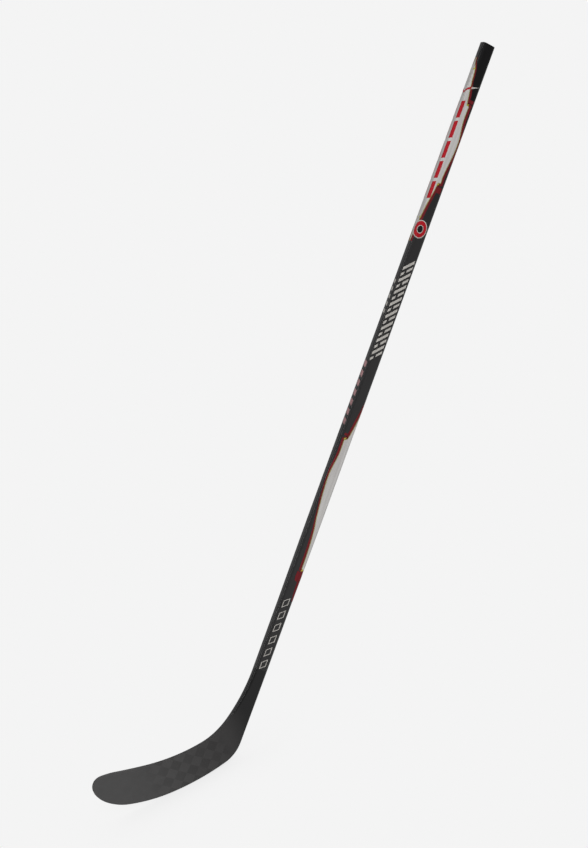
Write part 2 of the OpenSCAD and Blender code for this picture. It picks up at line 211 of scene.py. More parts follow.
# The heel's arc touches the back of the shaft and the rocker's circle
heel_a = HEEL_POINT + (HEEL_R - HOSEL_HALF_W) * TO_TOE - Vector((CONTACT_S, ROCKER_R))
heel_b = heel_a.dot(UP_SHAFT)
HEEL_START_Z = -heel_b - math.sqrt(heel_b**2 - heel_a.length_squared + (ROCKER_R - HEEL_R) ** 2)
HEEL_HEADING = asin_deg((heel_a + HEEL_START_Z * UP_SHAFT).x / (ROCKER_R - HEEL_R))

ROCKER_END = 2.7        # heading where the rocker passes into the toe's sweep
TOP_RISE = 12.8         # heading of the straight part of the upper edge
LOWER_START = shaft_side(-1, SEAM_Z)
LOWER_CHAIN = [
    (0, SEAM_Z - HEEL_START_Z),
    (HEEL_R, LIE + HEEL_HEADING),
    (ROCKER_R, ROCKER_END - HEEL_HEADING),
    (408, 12.2),                            # sweep up towards the toe
    (91, 28.6),                             # toe
    (53.5, 36),
]
UPPER_START = shaft_side(1, SEAM_Z)


def upper_chain(straight):
    return [
        (0, SEAM_Z - THROAT_Z),
        (FLARE_R, FLARE_TURN),
        (THROAT_R, LIE - FLARE_TURN),
        (545, TOP_RISE),
        (0, straight),
        (128, -14),                         # the toe's top corner
        (26.5, -95),
    ]


def chain_end(start, chain):
    return chain_at(start, chain, chain_length(chain, len(chain)))


TOE_S = chain_end(LOWER_START, LOWER_CHAIN)[0]
TOP_STRAIGHT = (TOE_S - chain_end(UPPER_START, upper_chain(0))[0]) / math.cos(TOP_RISE * DEG)
TOP_CHAIN = upper_chain(TOP_STRAIGHT)
THROAT_END_S = chain_at(UPPER_START, TOP_CHAIN, chain_length(TOP_CHAIN, 3))[0]


def rocker_length(s):
    turn = asin_deg((s - CONTACT_S) / ROCKER_R) - HEEL_HEADING
    return chain_length(LOWER_CHAIN, 2) + ROCKER_R * turn * DEG


# Stations u: 0 at the seam, 1 where the throat starts, 2 where it ends, 3 before the toe, 4 at the toe
LOWER_KNOTS = [
    (0, 0),
    (1, SEAM_Z - THROAT_Z),
    (2, rocker_length(THROAT_END_S)),
    (3, chain_length(LOWER_CHAIN, 4)),
    (4, chain_length(LOWER_CHAIN, 6)),
]
UPPER_KNOTS = [
    (0, 0),
    (1, SEAM_Z - THROAT_Z),
    (2, chain_length(TOP_CHAIN, 3)),
    (3, chain_length(TOP_CHAIN, 5)),
    (4, chain_length(TOP_CHAIN, 7)),
]
HALF_T_KNOTS = [(1, HOSEL_HALF_T), (1.5, 7), (2, HEEL_HALF_T), (3, TOE_HALF_T + 0.4), (4, TOE_HALF_T)]
EDGE_R_KNOTS = [(1, SHAFT_R - SLIMMING), (1.5, 4.5), (2, 2.6), (4, 2)]


def lookup(u, knots):
    """Value at u between knots, joined by straight lines."""
    if u <= knots[0][0]:
        return knots[0][1]
    for (u0, v0), (u1, v1) in zip(knots, knots[1:]):
        if u <= u1:
            return v0 + (v1 - v0) * (u - u0) / (u1 - u0)
    return knots[-1][1]


def blade_edge(u, upper, inset=0.0):
    """A place (s, z) on the lower or upper edge at station u, moved inward by inset."""
    start, chain, knots = (
        (UPPER_START, TOP_CHAIN, UPPER_KNOTS) if upper else (LOWER_START, LOWER_CHAIN, LOWER_KNOTS)
    )
    s, z, heading = chain_at(start, chain, lookup(u, knots))
    inward = -inset if upper else inset
    return Vector((s - inward * math.sin(heading * DEG), z + inward * math.cos(heading * DEG)))


def place_blade(p, w):
    """The flat blade's point p, w off its middle, bent to the blade's curve with its face opened."""
    a = max(p.x, 0) / BEND_R
    opened = p.y * math.tan(OPEN_ANGLE * DEG * max(p.x, 0) / TOE_S)
    x = min(p.x, 0) + (BEND_R - w) * math.sin(a)
    y = BEND_R - (BEND_R - w) * math.cos(a) - opened - CONTACT_Y
    return Vector((CONTACT_X - x, y, p.y)) * MM


# ---- Mesh building ----


SHARP_ANGLE = 32 * DEG      # edges that turn more than this stay sharp
MERGE_DISTANCE = 1e-7       # points closer than this, in metres, become one


def new_piece(name, verts, faces, body, material, slot):
    """Makes a piece from points and faces, with smooth shading between its sharp edges."""
    mesh = bpy.data.meshes.new(name)
    mesh.from_pydata(verts, [], faces)
    bm = bmesh.new()
    bm.from_mesh(mesh)
    bmesh.ops.remove_doubles(bm, verts=bm.verts, dist=MERGE_DISTANCE)
    bmesh.ops.recalc_face_normals(bm, faces=bm.faces)
    bm.to_mesh(mesh)
    bm.free()
    mesh.shade_smooth()
    mesh.set_sharp_from_angle(angle=SHARP_ANGLE)
    mesh.materials.append(material)
    piece = bpy.data.objects.new(name, mesh)
    bpy.context.scene.collection.objects.link(piece)
    weighted = piece.modifiers.new("weighted_normals", "WEIGHTED_NORMAL")
    weighted.keep_sharp = True
    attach(piece, body)
    return piece


def grid_faces(first, rows, cols, closed):
    """Quads between rows of points that start at index first."""
    span = cols if closed else cols - 1
    return [
        (a + j, a + (j + 1) % cols, b + (j + 1) % cols, b + j)
        for i in range(rows - 1)
        for a, b in [(first + i * cols, first + (i + 1) * cols)]
        for j in range(span)
    ]


def thick_sheet(outer, inner, closed=False):
    """Points and faces of the closed solid between two grids of points with equal rows and columns."""
    rows, cols = len(outer), len(outer[0])
    verts = [p for row in outer for p in row] + [p for row in inner for p in row]
    half = rows * cols
    faces = grid_faces(0, rows, cols, closed)
    faces += [tuple(reversed(f)) for f in grid_faces(half, rows, cols, closed)]
    span = cols if closed else cols - 1
    for i in (0, rows - 1):
        for j in range(span):
            a, b = i * cols + j, i * cols + (j + 1) % cols
            faces.append((a, b, b + half, a + half))
    if not closed:
        for j in (0, cols - 1):
            for i in range(rows - 1):
                a, b = i * cols + j, (i + 1) * cols + j
                faces.append((a, b, b + half, a + half))
    return verts, faces


def capped_tube(loops):
    """Points and faces of a solid swept through closed loops, with its two ends closed."""
    rows, cols = len(loops), len(loops[0])
    verts = [p for loop in loops for p in loop]
    faces = grid_faces(0, rows, cols, True)
    faces.append(tuple(range(cols)))
    faces.append(tuple(range((rows - 1) * cols, rows * cols)))
    return verts, faces


def joined(parts):
    """One list of points and faces from several."""
    verts, faces = [], []
    for part_verts, part_faces in parts:
        base = len(verts)
        verts += part_verts
        faces += [tuple(base + i for i in f) for f in part_faces]
    return verts, faces


def steps(a, b, n):
    """n + 1 even values from a to b."""
    return [a + (b - a) * i / n for i in range(n + 1)]


# ---- Materials ----


def socket(tree, target, value):
    """Sets an input to a value, or links another node's output to it."""
    if isinstance(value, bpy.types.NodeSocket):
        tree.links.new(value, target)
    else:
        target.default_value = value


def add_node(tree, kind, settings=None, **inputs):
    """Adds a node, gives it its settings and fills the inputs named by the keywords."""
    node = tree.nodes.new(kind)
    for key, value in (settings or {}).items():
        setattr(node, key, value)
    for key, value in inputs.items():
        socket(tree, node.inputs[key.replace("_", " ")], value)
    return node


def calc(tree, operation, a, b=0.0, c=0.0):
    """A maths node's result."""
    node = tree.nodes.new("ShaderNodeMath")
    node.operation = operation
    for target, value in zip(node.inputs, (a, b, c)):
        socket(tree, target, value)
    return node.outputs[0]


def blend_colours(tree, share, a, b):
    """Colour a where share is 0, and b where it is 1."""
    node = tree.nodes.new("ShaderNodeMix")
    node.data_type = "RGBA"
    for target, value in ((0, share), (6, a), (7, b)):      # Factor, then the colour inputs A and B
        socket(tree, node.inputs[target], value)
    return node.outputs[2]


def blend_numbers(tree, share, a, b):
    """Number a where share is 0, and b where it is 1."""
    node = add_node(tree, "ShaderNodeMix", {"data_type": "FLOAT"})
    for index, value in ((0, share), (2, a), (3, b)):
        socket(tree, node.inputs[index], value)
    return node.outputs[0]


def fade(tree, value, start, end, low=0.0, high=1.0):
    """Smooth change from low to high as value goes from start to end."""
    node = add_node(tree, "ShaderNodeMapRange", {"interpolation_type": "SMOOTHSTEP"}, Value=value)
    for key, number in (("From Min", start), ("From Max", end), ("To Min", low), ("To Max", high)):
        node.inputs[key].default_value = number
    return node.outputs[0]


def noise(tree, vector, scale, detail=3.0, roughness=0.5):
    return add_node(
        tree, "ShaderNodeTexNoise", Vector=vector, Scale=scale, Detail=detail, Roughness=roughness
    ).outputs[0]


def stretched(tree, vector, scale):
    return add_node(tree, "ShaderNodeMapping", Vector=vector, Scale=scale).outputs[0]


def rgb(*values):
    return (*values, 1.0)


class Surface:
    """A material with a Principled shader, its mesh coordinates in metres, and those along the shaft."""

    def __init__(self, name):
        self.material = bpy.data.materials.new(name)
        self.material.use_nodes = True
        self.tree = self.material.node_tree
        self.tree.nodes.clear()
        self.shader = add_node(self.tree, "ShaderNodeBsdfPrincipled")
        output = add_node(self.tree, "ShaderNodeOutputMaterial", Surface=self.shader.outputs[0])
        output.is_active_output = True
        self.here = add_node(self.tree, "ShaderNodeTexCoord").outputs["Object"]
        turn = add_node(self.tree, "ShaderNodeMapping", Vector=self.here)
        turn.inputs["Rotation"].default_value = (0, (LIE - 90) * DEG, 0)
        turn.inputs["Location"].default_value = [-HEEL.dot(axis) for axis in (EX, EY, EZ)]
        self.along = turn.outputs[0]

    def split(self, vector):
        return add_node(self.tree, "ShaderNodeSeparateXYZ", Vector=vector).outputs

    def set(self, **inputs):
        for key, value in inputs.items():
            socket(self.tree, self.shader.inputs[key.replace("_", " ")], value)

    def bump(self, height, distance, strength=1.0):
        node = add_node(self.tree, "ShaderNodeBump", Height=height, Distance=distance, Strength=strength)
        self.set(Normal=node.outputs[0])


SHAFT_TOW = 0.0028              # pitch of the weave's tows, in metres
RAW_TOW = 0.003
PALER_BELOW = (1.42, 1.08)      # the shaft turns paler from the first to the second, in metres up it


def twill(s, tow):
    """Height of a fine twill of tows laid at 45 degrees round the shaft, from 0 to 1."""
    x, y, z = s.split(s.along)
    across = calc(s.tree, "SUBTRACT", x, y)
    turns = 2 * math.pi / tow
    rising = calc(s.tree, "MULTIPLY", calc(s.tree, "ADD", across, z), turns)
    falling = calc(s.tree, "MULTIPLY", calc(s.tree, "SUBTRACT", across, z), turns)
    waves = calc(s.tree, "MULTIPLY", calc(s.tree, "SINE", rising), calc(s.tree, "SINE", falling))
    return calc(s.tree, "MULTIPLY_ADD", waves, 0.5, 0.5)


def shaft_laminate():
    """Dark carbon laminate under a satin clear coat."""
    s = Surface("shaft_laminate")
    weave = twill(s, SHAFT_TOW)
    streaks = noise(s.tree, stretched(s.tree, s.along, (1, 1, 0.06)), 420, 4)
    clouds = noise(s.tree, s.along, 22, 3)
    z = s.split(s.along)[2]
    woven, streaked = calc(s.tree, "MULTIPLY", weave, 0.35), calc(s.tree, "MULTIPLY", streaks, 0.65)
    tone = calc(s.tree, "ADD", woven, streaked)
    lower = fade(s.tree, z, *PALER_BELOW)
    dark = blend_colours(s.tree, lower, rgb(0.0016, 0.0016, 0.0018), rgb(0.0105, 0.0100, 0.0103))
    light = blend_colours(s.tree, lower, rgb(0.0036, 0.0035, 0.0038), rgb(0.0205, 0.0197, 0.0201))
    s.set(Base_Color=blend_colours(s.tree, tone, dark, light))
    s.set(Roughness=fade(s.tree, clouds, 0.3, 0.7, 0.38, 0.50))
    s.set(Specular_IOR_Level=0.32, Coat_Weight=0.6, Coat_Roughness=0.09, Coat_IOR=1.42)
    peel = noise(s.tree, s.along, 900, 2)
    height = calc(s.tree, "ADD", calc(s.tree, "MULTIPLY", weave, 0.4), calc(s.tree, "MULTIPLY", peel, 0.6))
    s.bump(height, 0.00003, 0.6)
    return s.material


TOW = 0.019                     # width of the blade laminate's spread tows, in metres
# Places between which a look comes or goes, as x in metres: 0 where the blade touches the ice, about 0.094
# at the heel line, and falling towards the toe
WEAVE_FROM_HEEL = (0.105, 0.075)
WEAVE_TO_TOE = (-0.095, -0.02)
# Painted shade: the blade's base colour is darker at the heel and lighter towards the toe, as light falls
# across its curve
PAINTED_SHADE_TO_TOE = (0.10, -0.17)
GLOSS_UP_HOSEL = (0.098, 0.160)


def blade_laminate():
    """Matte laminate of wide tows at 45 degrees, plain at the toe and glossy and plain up the hosel, with
    painted shade that darkens it from the toe towards the heel.
    """
    s = Surface("blade_laminate")
    t = s.tree
    x, _, z = s.split(s.here)
    root = math.sqrt(0.5) / TOW
    rising = calc(t, "MULTIPLY", calc(t, "ADD", x, z), root)
    falling = calc(t, "MULTIPLY", calc(t, "SUBTRACT", x, z), root)
    row, column = calc(t, "FLOOR", rising), calc(t, "FLOOR", falling)
    checker = calc(t, "PINGPONG", calc(t, "ADD", row, column), 1.0)
    tows = [
        add_node(t, "ShaderNodeTexWhiteNoise", {"noise_dimensions": "1D"}, W=number).outputs[0]
        for number in (row, column)
    ]
    tow_tone = calc(t, "MULTIPLY_ADD", calc(t, "SUBTRACT", *tows), 0.35, checker)
    seen = calc(t, "MULTIPLY", fade(t, x, *WEAVE_FROM_HEEL), fade(t, x, *WEAVE_TO_TOE))
    drawn_out = 0.03            # scale of the fibres' pattern along a tow, against 1 across it
    fibre_ways = []
    for along_x, along_y in (
        (rising, calc(t, "MULTIPLY", falling, drawn_out)),
        (calc(t, "MULTIPLY", rising, drawn_out), falling),
    ):
        way = add_node(t, "ShaderNodeCombineXYZ", X=along_x, Y=along_y).outputs[0]
        fibre_ways.append(noise(t, way, 34, 2))
    fibre = blend_numbers(t, checker, *fibre_ways)
    mottle = noise(t, s.here, 60, 4)
    shade_lifts_to_toe = fade(t, x, *PAINTED_SHADE_TO_TOE)
    # Painted shade: the base colour goes from dark at the heel to paler at the toe
    base = blend_colours(t, shade_lifts_to_toe, rgb(0.0370, 0.0356, 0.0355), rgb(0.0755, 0.0742, 0.0742))
    up_hosel = fade(t, x, *GLOSS_UP_HOSEL)
    base = blend_colours(t, up_hosel, base, rgb(0.0060, 0.0058, 0.0060))
    gain = calc(t, "MULTIPLY_ADD", calc(t, "SUBTRACT", tow_tone, 0.5), calc(t, "MULTIPLY", seen, 0.22), 1.0)
    for pattern, depth in ((fibre, 0.25), (mottle, 0.22)):
        change = calc(t, "MULTIPLY_ADD", calc(t, "SUBTRACT", pattern, 0.5), depth, 1.0)
        gain = calc(t, "MULTIPLY", gain, change)
    scaled = add_node(t, "ShaderNodeVectorMath", {"operation": "SCALE"})
    socket(t, scaled.inputs[0], base)
    socket(t, scaled.inputs["Scale"], gain)
    s.set(Base_Color=scaled.outputs[0])
    smoothness = fade(t, up_hosel, 0, 1, 0.52, 0.24)
    s.set(Roughness=calc(t, "ADD", smoothness, calc(t, "MULTIPLY", fibre, 0.10)))
    s.set(Specular_IOR_Level=0.34, Coat_Weight=calc(t, "MULTIPLY", up_hosel, 0.2), Coat_Roughness=0.12)
    grain = noise(t, s.here, 1500, 2)
    height = calc(t, "ADD", calc(t, "MULTIPLY", fibre, 0.6), calc(t, "MULTIPLY", grain, 0.4))
    s.bump(height, 0.00004, 0.7)
    return s.material


FILM_ROUGHNESS = (0.34, 0.44)


def printed_film(name, low, high):
    """Printed film under the clear coat: fine print grain, faint streaks along the shaft."""
    s = Surface(name)
    t = s.tree
    grain = noise(t, s.along, 2600, 2, 0.7)
    streaks = noise(t, stretched(t, s.along, (1, 1, 0.03)), 260, 3)
    clouds = noise(t, stretched(t, s.along, (1, 1, 0.3)), 40, 2)
    share = calc(t, "MULTIPLY", streaks, 0.5)
    share = calc(t, "MULTIPLY_ADD", grain, 0.25, share)
    share = calc(t, "MULTIPLY_ADD", clouds, 0.25, share)
    s.set(Base_Color=blend_colours(t, fade(t, share, 0.3, 0.7), rgb(*low), rgb(*high)))
    s.set(Roughness=fade(t, clouds, 0.3, 0.7, *FILM_ROUGHNESS))
    s.set(Specular_IOR_Level=0.14, Coat_Weight=0.08, Coat_Roughness=0.18, Coat_IOR=1.4)
    s.bump(noise(t, s.along, 900, 2), 0.00003, 0.5)
    return s.material


def moulded_plastic():
    """Black moulded plastic with a fine spark-eroded grain."""
    s = Surface("plug_plastic")
    grain = noise(s.tree, s.here, 2200, 3, 0.7)
    s.set(Base_Color=blend_colours(s.tree, grain, rgb(0.0030, 0.0030, 0.0034), rgb(0.0085, 0.0085, 0.0090)))
    s.set(Roughness=fade(s.tree, noise(s.tree, s.here, 90), 0.3, 0.7, 0.42, 0.55))
    s.set(Specular_IOR_Level=0.35)
    s.bump(grain, 0.00005, 0.8)
    return s.material


def raw_laminate():
    """Uncoated cured carbon laminate."""
    s = Surface("raw_laminate")
    weave = twill(s, RAW_TOW)
    fibres = noise(s.tree, stretched(s.tree, s.along, (1, 1, 0.05)), 900, 3)
    tone = calc(s.tree, "MULTIPLY", weave, calc(s.tree, "ADD", fibres, 0.5))
    s.set(Base_Color=blend_colours(s.tree, tone, rgb(0.014, 0.014, 0.015), rgb(0.05, 0.05, 0.053)))
    s.set(Roughness=fade(s.tree, weave, 0, 1, 0.35, 0.55))
    s.bump(weave, 0.00008)
    return s.material


def core_foam():
    """Rigid closed-cell foam."""
    s = Surface("core_foam")
    cells = add_node(s.tree, "ShaderNodeTexVoronoi", Vector=s.here, Scale=1400.0).outputs["Distance"]
    tint = noise(s.tree, s.here, 80)
    warm = blend_colours(s.tree, tint, rgb(0.62, 0.57, 0.45), rgb(0.72, 0.68, 0.57))
    s.set(Base_Color=blend_colours(s.tree, fade(s.tree, cells, 0.2, 0.7), warm, rgb(0.45, 0.41, 0.32)))
    s.set(Roughness=fade(s.tree, tint, 0.3, 0.7, 0.8, 0.95))
    s.bump(cells, 0.0002)
    return s.material


def epoxy():
    """Cured amber epoxy with small bubbles."""
    s = Surface("adhesive")
    clouds = noise(s.tree, s.here, 150)
    bubbles = add_node(s.tree, "ShaderNodeTexVoronoi", Vector=s.here, Scale=700.0).outputs["Distance"]
    s.set(Base_Color=blend_colours(s.tree, clouds, rgb(0.36, 0.25, 0.08), rgb(0.55, 0.43, 0.18)))
    s.set(Roughness=fade(s.tree, clouds, 0.3, 0.7, 0.2, 0.35))
    s.bump(bubbles, 0.0001)
    return s.material


SHAFT_LAMINATE = shaft_laminate()
BLADE_LAMINATE = blade_laminate()
RAW_LAMINATE = raw_laminate()
PLUG_PLASTIC = moulded_plastic()
CORE_FOAM = core_foam()
ADHESIVE = epoxy()
GREY_FILM = printed_film("grey_film", (0.42, 0.405, 0.395), (0.53, 0.52, 0.505))
DARK_RED_FILM = printed_film("dark_red_film", (0.095, 0.008, 0.011), (0.17, 0.014, 0.018))
GOLD_FILM = printed_film("gold_film", (0.20, 0.19, 0.075), (0.34, 0.31, 0.13))
PALE_FILM = printed_film("pale_film", (0.36, 0.345, 0.32), (0.47, 0.45, 0.42))
RED_FILM = printed_film("red_film", (0.30, 0.006, 0.012), (0.42, 0.012, 0.020))
BLACK_FILM = printed_film("black_film", (0.006, 0.006, 0.007), (0.014, 0.014, 0.015))
PINK_FILM = printed_film("pink_film", (0.29, 0.15, 0.155), (0.42, 0.25, 0.255))
YELLOW_FILM = printed_film("yellow_film", (0.26, 0.24, 0.03), (0.44, 0.41, 0.05))

# ---- Shaft ----

CORNER_STEPS = 12
SEAM_EDGE = 0.25        # how far the edges at the seam are rounded over
BUTT_EDGE = 0.5


def section_ring(z, grow):
    """Points once round the shaft's section at z, grown by grow about the same corner centres."""
    r = shaft_radius(z) + grow
    ring = []
    for corner, (side_x, side_y) in enumerate([(1, -1), (1, 1), (-1, 1), (-1, -1)]):
        for k in range(CORNER_STEPS + 1):
            a = math.pi / 2 * (corner - 1 + k / CORNER_STEPS)
            x = side_x * CORNER_X + r * math.cos(a)
            ring.append(place_shaft(x, side_y * CORNER_Y + r * math.sin(a), z))
    return ring


def rounded_end(z, grow, radius, top=True):
    """Stations (z, grow) of an edge rounded over by radius, ending on the face at z."""
    out = []
    for k in range(7):
        a = math.pi / 2 * k / 6
        lift = radius * (math.sin(a) - 1)
        out.append((z + (lift if top else -lift), grow - radius * (1 - math.cos(a))))
    return out if top else out[::-1]


def shaft_tube():
    foot = SEAM_Z + BOND_GAP
    outer = rounded_end(foot, 0, SEAM_EDGE, top=False)
    outer += [(z, 0) for z in (230, 290)] + [(z, 0) for z in steps(TAPER_BOTTOM, TAPER_TOP, 8)]
    outer += [(z, 0) for z in steps(TAPER_TOP, SHAFT_L - 20, 20)[1:]]
    outer += rounded_end(SHAFT_L, 0, BUTT_EDGE)
    inner = [(z, -WALL) for z in (SHAFT_L, 1300, 900, TAPER_TOP, TAPER_BOTTOM, foot)]
    loops = [section_ring(z, grow) for z, grow in outer + inner]
    verts, faces = capped_tube(loops + loops[:1])
    faces = faces[:-2]                      # the loops close on themselves, so no caps
    piece = new_piece("shaft_tube_laminate", verts, faces, "stick", SHAFT_LAMINATE, "shaft_laminate")
    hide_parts("shaft_tube")


def butt_plug():
    """Flush cap with a rounded edge, and a hollow stem with three collars and cross ribs."""
    snug = -WALL - PLUG_GAP
    cap_lip, cap_edge, dish_z = 0.6, 0.9, SHAFT_L - 0.35
    stem_wall, rib_t, chamfer, collars = 1.6, 1.2, 0.3, 3
    cap_z = SHAFT_L - CAP_T
    foot = cap_z - STEM_L
    stem = snug - cap_lip
    cavity = [(cap_z, stem - stem_wall), (foot, stem - stem_wall)]
    outside = []
    for k in range(collars):
        z = foot + k * STEM_L / collars
        top = z + rib_t
        outside += [(z, stem), (z, snug - chamfer), (z + chamfer, snug)]
        outside += [(top - chamfer, snug), (top, snug - chamfer), (top, stem)]
    outside += [(cap_z - 0.01, stem), (cap_z, snug)] + rounded_end(SHAFT_L, snug, cap_edge)
    dish = [(SHAFT_L, snug - 2.2), (dish_z, snug - 2.7), (dish_z, snug - 4.2)]
    loops = [section_ring(z, grow) for z, grow in cavity + outside + dish]
    parts = [capped_tube(loops)]
    reach_x = CORNER_X + SHAFT_R + stem - stem_wall / 2
    reach_y = CORNER_Y + SHAFT_R + stem - stem_wall / 2
    for half_x, half_y in ((reach_x, rib_t / 2), (rib_t / 2, reach_y)):
        rib = []
        for z in (foot + 0.4, cap_z + 0.4):
            corners = [(-half_x, -half_y), (half_x, -half_y), (half_x, half_y), (-half_x, half_y)]
            rib.append([place_shaft(x, y, z) for x, y in corners])
        parts.append(capped_tube(rib))
    piece = new_piece("butt_plug_moulding", *joined(parts), "butt_plug", PLUG_PLASTIC, "plug_plastic")
    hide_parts("butt_plug")


# ---- Hosel and blade ----

EDGE_STEPS = 8
FACE_STEPS = 24


def edge_drop(u, inset):
    """How far the blade's face falls towards its edge at an inset from that edge."""
    r = lookup(u, EDGE_R_KNOTS)
    if inset >= r:
        return 0.0
    return r - math.sqrt(r * r - (r - inset) ** 2)


def blade_ring(u, inset):
    """Points once round the section at station u, made smaller all round by inset."""
    p, q = blade_edge(u, False), blade_edge(u, True)
    across = (q - p).length
    unit = (q - p) / across
    half_t = lookup(u, HALF_T_KNOTS)
    t = half_t - inset
    r = min(lookup(u, EDGE_R_KNOTS), half_t) - inset
    ring = []
    for corner in range(4):
        for k in range(EDGE_STEPS + 1):
            a = math.pi / 2 * (corner + k / EDGE_STEPS)
            y = (across - inset - r if corner in (0, 3) else inset + r) + r * math.cos(a)
            w = (t - r if corner < 2 else r - t) + r * math.sin(a)
            ring.append(place_blade(p + y * unit, w))
        if corner in (0, 2):
            straight = steps(across - inset - r, inset + r, FACE_STEPS)[1:-1]
            for y in straight if corner == 0 else reversed(straight):
                ring.append(place_blade(p + y * unit, t if corner == 0 else -t))
    return ring


def hosel_shell():
    stations = [0, 0.004] + steps(0.2, 0.8, 3) + steps(1, 2, 60)
    outer = [blade_ring(0, SEAM_EDGE)] + [blade_ring(u, 0) for u in stations[1:]]
    inner = [blade_ring(u, OVERWRAP_T) for u in stations]
    verts, faces = thick_sheet(outer, inner, closed=True)
    piece = new_piece("hosel_shell", verts, faces, "stick", BLADE_LAMINATE, "blade_laminate")
    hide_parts("hosel_overwrap")


BLADE_STATIONS = steps(2.0001, 3, 70) + steps(3, 4, 90)[1:]      # from a hair past the hosel's end
FACE_SHARES = [0, 0.004, 0.012] + steps(0.04, 0.96, 24) + [0.988, 0.996, 1]     # closer at the edges


def blade_face(name, side, node):
    """One face skin, which meets the rim's rounding at its edges."""
    outer, inner = [], []
    for u in BLADE_STATIONS:
        p, q = blade_edge(u, False, RIM_W + BOND_GAP), blade_edge(u, True, RIM_W + BOND_GAP)
        height = (q - p).length
        t = lookup(u, HALF_T_KNOTS)
        outer_row, inner_row = [], []
        for share in FACE_SHARES:
            inset = RIM_W + BOND_GAP + height * min(share, 1 - share)
            flat = p + share * (q - p)
            outer_row.append(place_blade(flat, side * (t - edge_drop(u, inset))))
            inner_row.append(place_blade(flat, side * (t - SKIN_T)))
        outer.append(outer_row)
        inner.append(inner_row)
    verts, faces = thick_sheet(outer, inner)
    piece = new_piece(name, verts, faces, "stick", BLADE_LAMINATE, "blade_laminate")
    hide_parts(node)


def rim_ring(u, upper):
    """Section of the rim: rounded outside as far as its width, and square inside."""
    t = lookup(u, HALF_T_KNOTS)
    r = lookup(u, EDGE_R_KNOTS)
    insets = [r * (1 - math.cos(math.pi / 2 * k / EDGE_STEPS)) for k in range(EDGE_STEPS + 1)]
    insets = [d for d in insets if d < RIM_W] + [RIM_W]
    insets += [RIM_W] * (EDGE_STEPS + 2 - len(insets))
    ring = [place_blade(blade_edge(u, upper, d), t - edge_drop(u, d)) for d in reversed(insets)]
    ring += [place_blade(blade_edge(u, upper, d), edge_drop(u, d) - t) for d in insets]
    return ring


def edge_rim():
    loops = [rim_ring(u, False) for u in BLADE_STATIONS]
    loops += [rim_ring(u, True) for u in reversed(BLADE_STATIONS)]
    piece = new_piece("blade_rim", *capped_tube(loops), "stick", BLADE_LAMINATE, "blade_laminate")
    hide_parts("blade_edge_rim")


shaft_tube()
butt_plug()
hosel_shell()
blade_face("backhand_face", -1, "blade_backhand_skin")
blade_face("forehand_face", 1, "blade_forehand_skin")
edge_rim()

for material, nodes in (
    (CORE_FOAM, ("tenon_foam", "hosel_core", "blade_upper_core", "blade_lower_core")),
    (RAW_LAMINATE, ("tenon_laminate", "blade_bridge_rib")),
    (ADHESIVE, ("tenon_adhesive",)),
):
    for name in nodes:
        for slot in frame["nodes"][name].material_slots:
            slot.link = "OBJECT"
            slot.material = material

# ---- Printed films ----
# Each film is a thin closed sheet laid on the shaft, drawn in (c, z). Layer 1 lies on layer 0.

COLUMN = 0.75           # spacing of a film's points round the shaft


def film_heights(layer):
    base = FILM_GAP + layer * (FILM_T + FILM_GAP)
    return base, base + FILM_T


def film_sheet(rows, layer=0, closed=False):
    """The film over a grid of (c, z) places."""
    low, high = film_heights(layer)
    outer = [[wrap(c, z, high) for c, z in row] for row in rows]
    inner = [[wrap(c, z, low) for c, z in row] for row in rows]
    return thick_sheet(outer, inner, closed)


def film_between(left, right, layer=0):
    """The film between two lines with as many (c, z) points each."""
    widest = max(abs(b[0] - a[0]) for a, b in zip(left, right))
    n = max(1, math.ceil(widest / COLUMN))
    rows = [
        [(a[0] + (b[0] - a[0]) * k / n, a[1] + (b[1] - a[1]) * k / n) for k in range(n + 1)]
        for a, b in zip(left, right)
    ]
    return film_sheet(rows, layer)


def mirrored(line, side):
    """A line of (c, z) places mirrored to the forehand face across the narrow face on that side."""
    out = []
    for c, z in line:
        middle = CORNER_X + shaft_radius(z) * math.pi / 2 + CORNER_Y
        out.append((2 * side * middle - c, z))
    return out


def both_faces(parts_of, side=-1):
    """Film parts made on the backhand face and again, mirrored, on the forehand face."""
    return joined([parts_of(lambda line: line), parts_of(lambda line: mirrored(line, side))])


def film_piece(name, mesh, material, slot, node):
    piece = new_piece(name, *mesh, "stick", material, slot)
    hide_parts(node)


def smooth_line(knots, spacing=3.0):
    """A curve through (c, z) knots of falling z, as points about spacing apart."""
    if len(knots) == 2:
        n = max(1, math.ceil(abs(knots[1][1] - knots[0][1]) / spacing))
        (c0, z0), (c1, z1) = knots
        return [(c0 + (c1 - c0) * k / n, z0 + (z1 - z0) * k / n) for k in range(n + 1)]
    slopes = []
    for i in range(len(knots)):
        a, b = knots[max(i - 1, 0)], knots[min(i + 1, len(knots) - 1)]
        slopes.append((b[0] - a[0]) / (b[1] - a[1]))
    points = []
    for (c0, z0), (c1, z1), m0, m1 in zip(knots, knots[1:], slopes, slopes[1:]):
        n = max(2, math.ceil((z0 - z1) / spacing))
        for k in range(n):
            v = k / n
            span = z1 - z0
            c = (2 * v**3 - 3 * v**2 + 1) * c0 + (v**3 - 2 * v**2 + v) * m0 * span
            c += (3 * v**2 - 2 * v**3) * c1 + (v**3 - v**2) * m1 * span
            points.append((c, z0 + span * v))
    return points + [knots[-1]]


def offset_line(line, distance):
    """The line moved sideways, to its left seen along it, with mitred corners; distance may depend on z."""
    out = []
    for i, here in enumerate(line):
        here = Vector(here)
        before = Vector(line[max(i - 1, 0)])
        after = Vector(line[min(i + 1, len(line) - 1)])
        d0 = (here - before).normalized() if i > 0 else (after - here).normalized()
        d1 = (after - here).normalized() if i < len(line) - 1 else d0
        middle = (d0 + d1).normalized()
        normal = Vector((-middle.y, middle.x))
        share = max(0.5, normal.dot(Vector((-d0.y, d0.x))))
        moved = here + normal * ((distance(here.y) if callable(distance) else distance) / share)
        out.append((moved.x, moved.y))
    return out


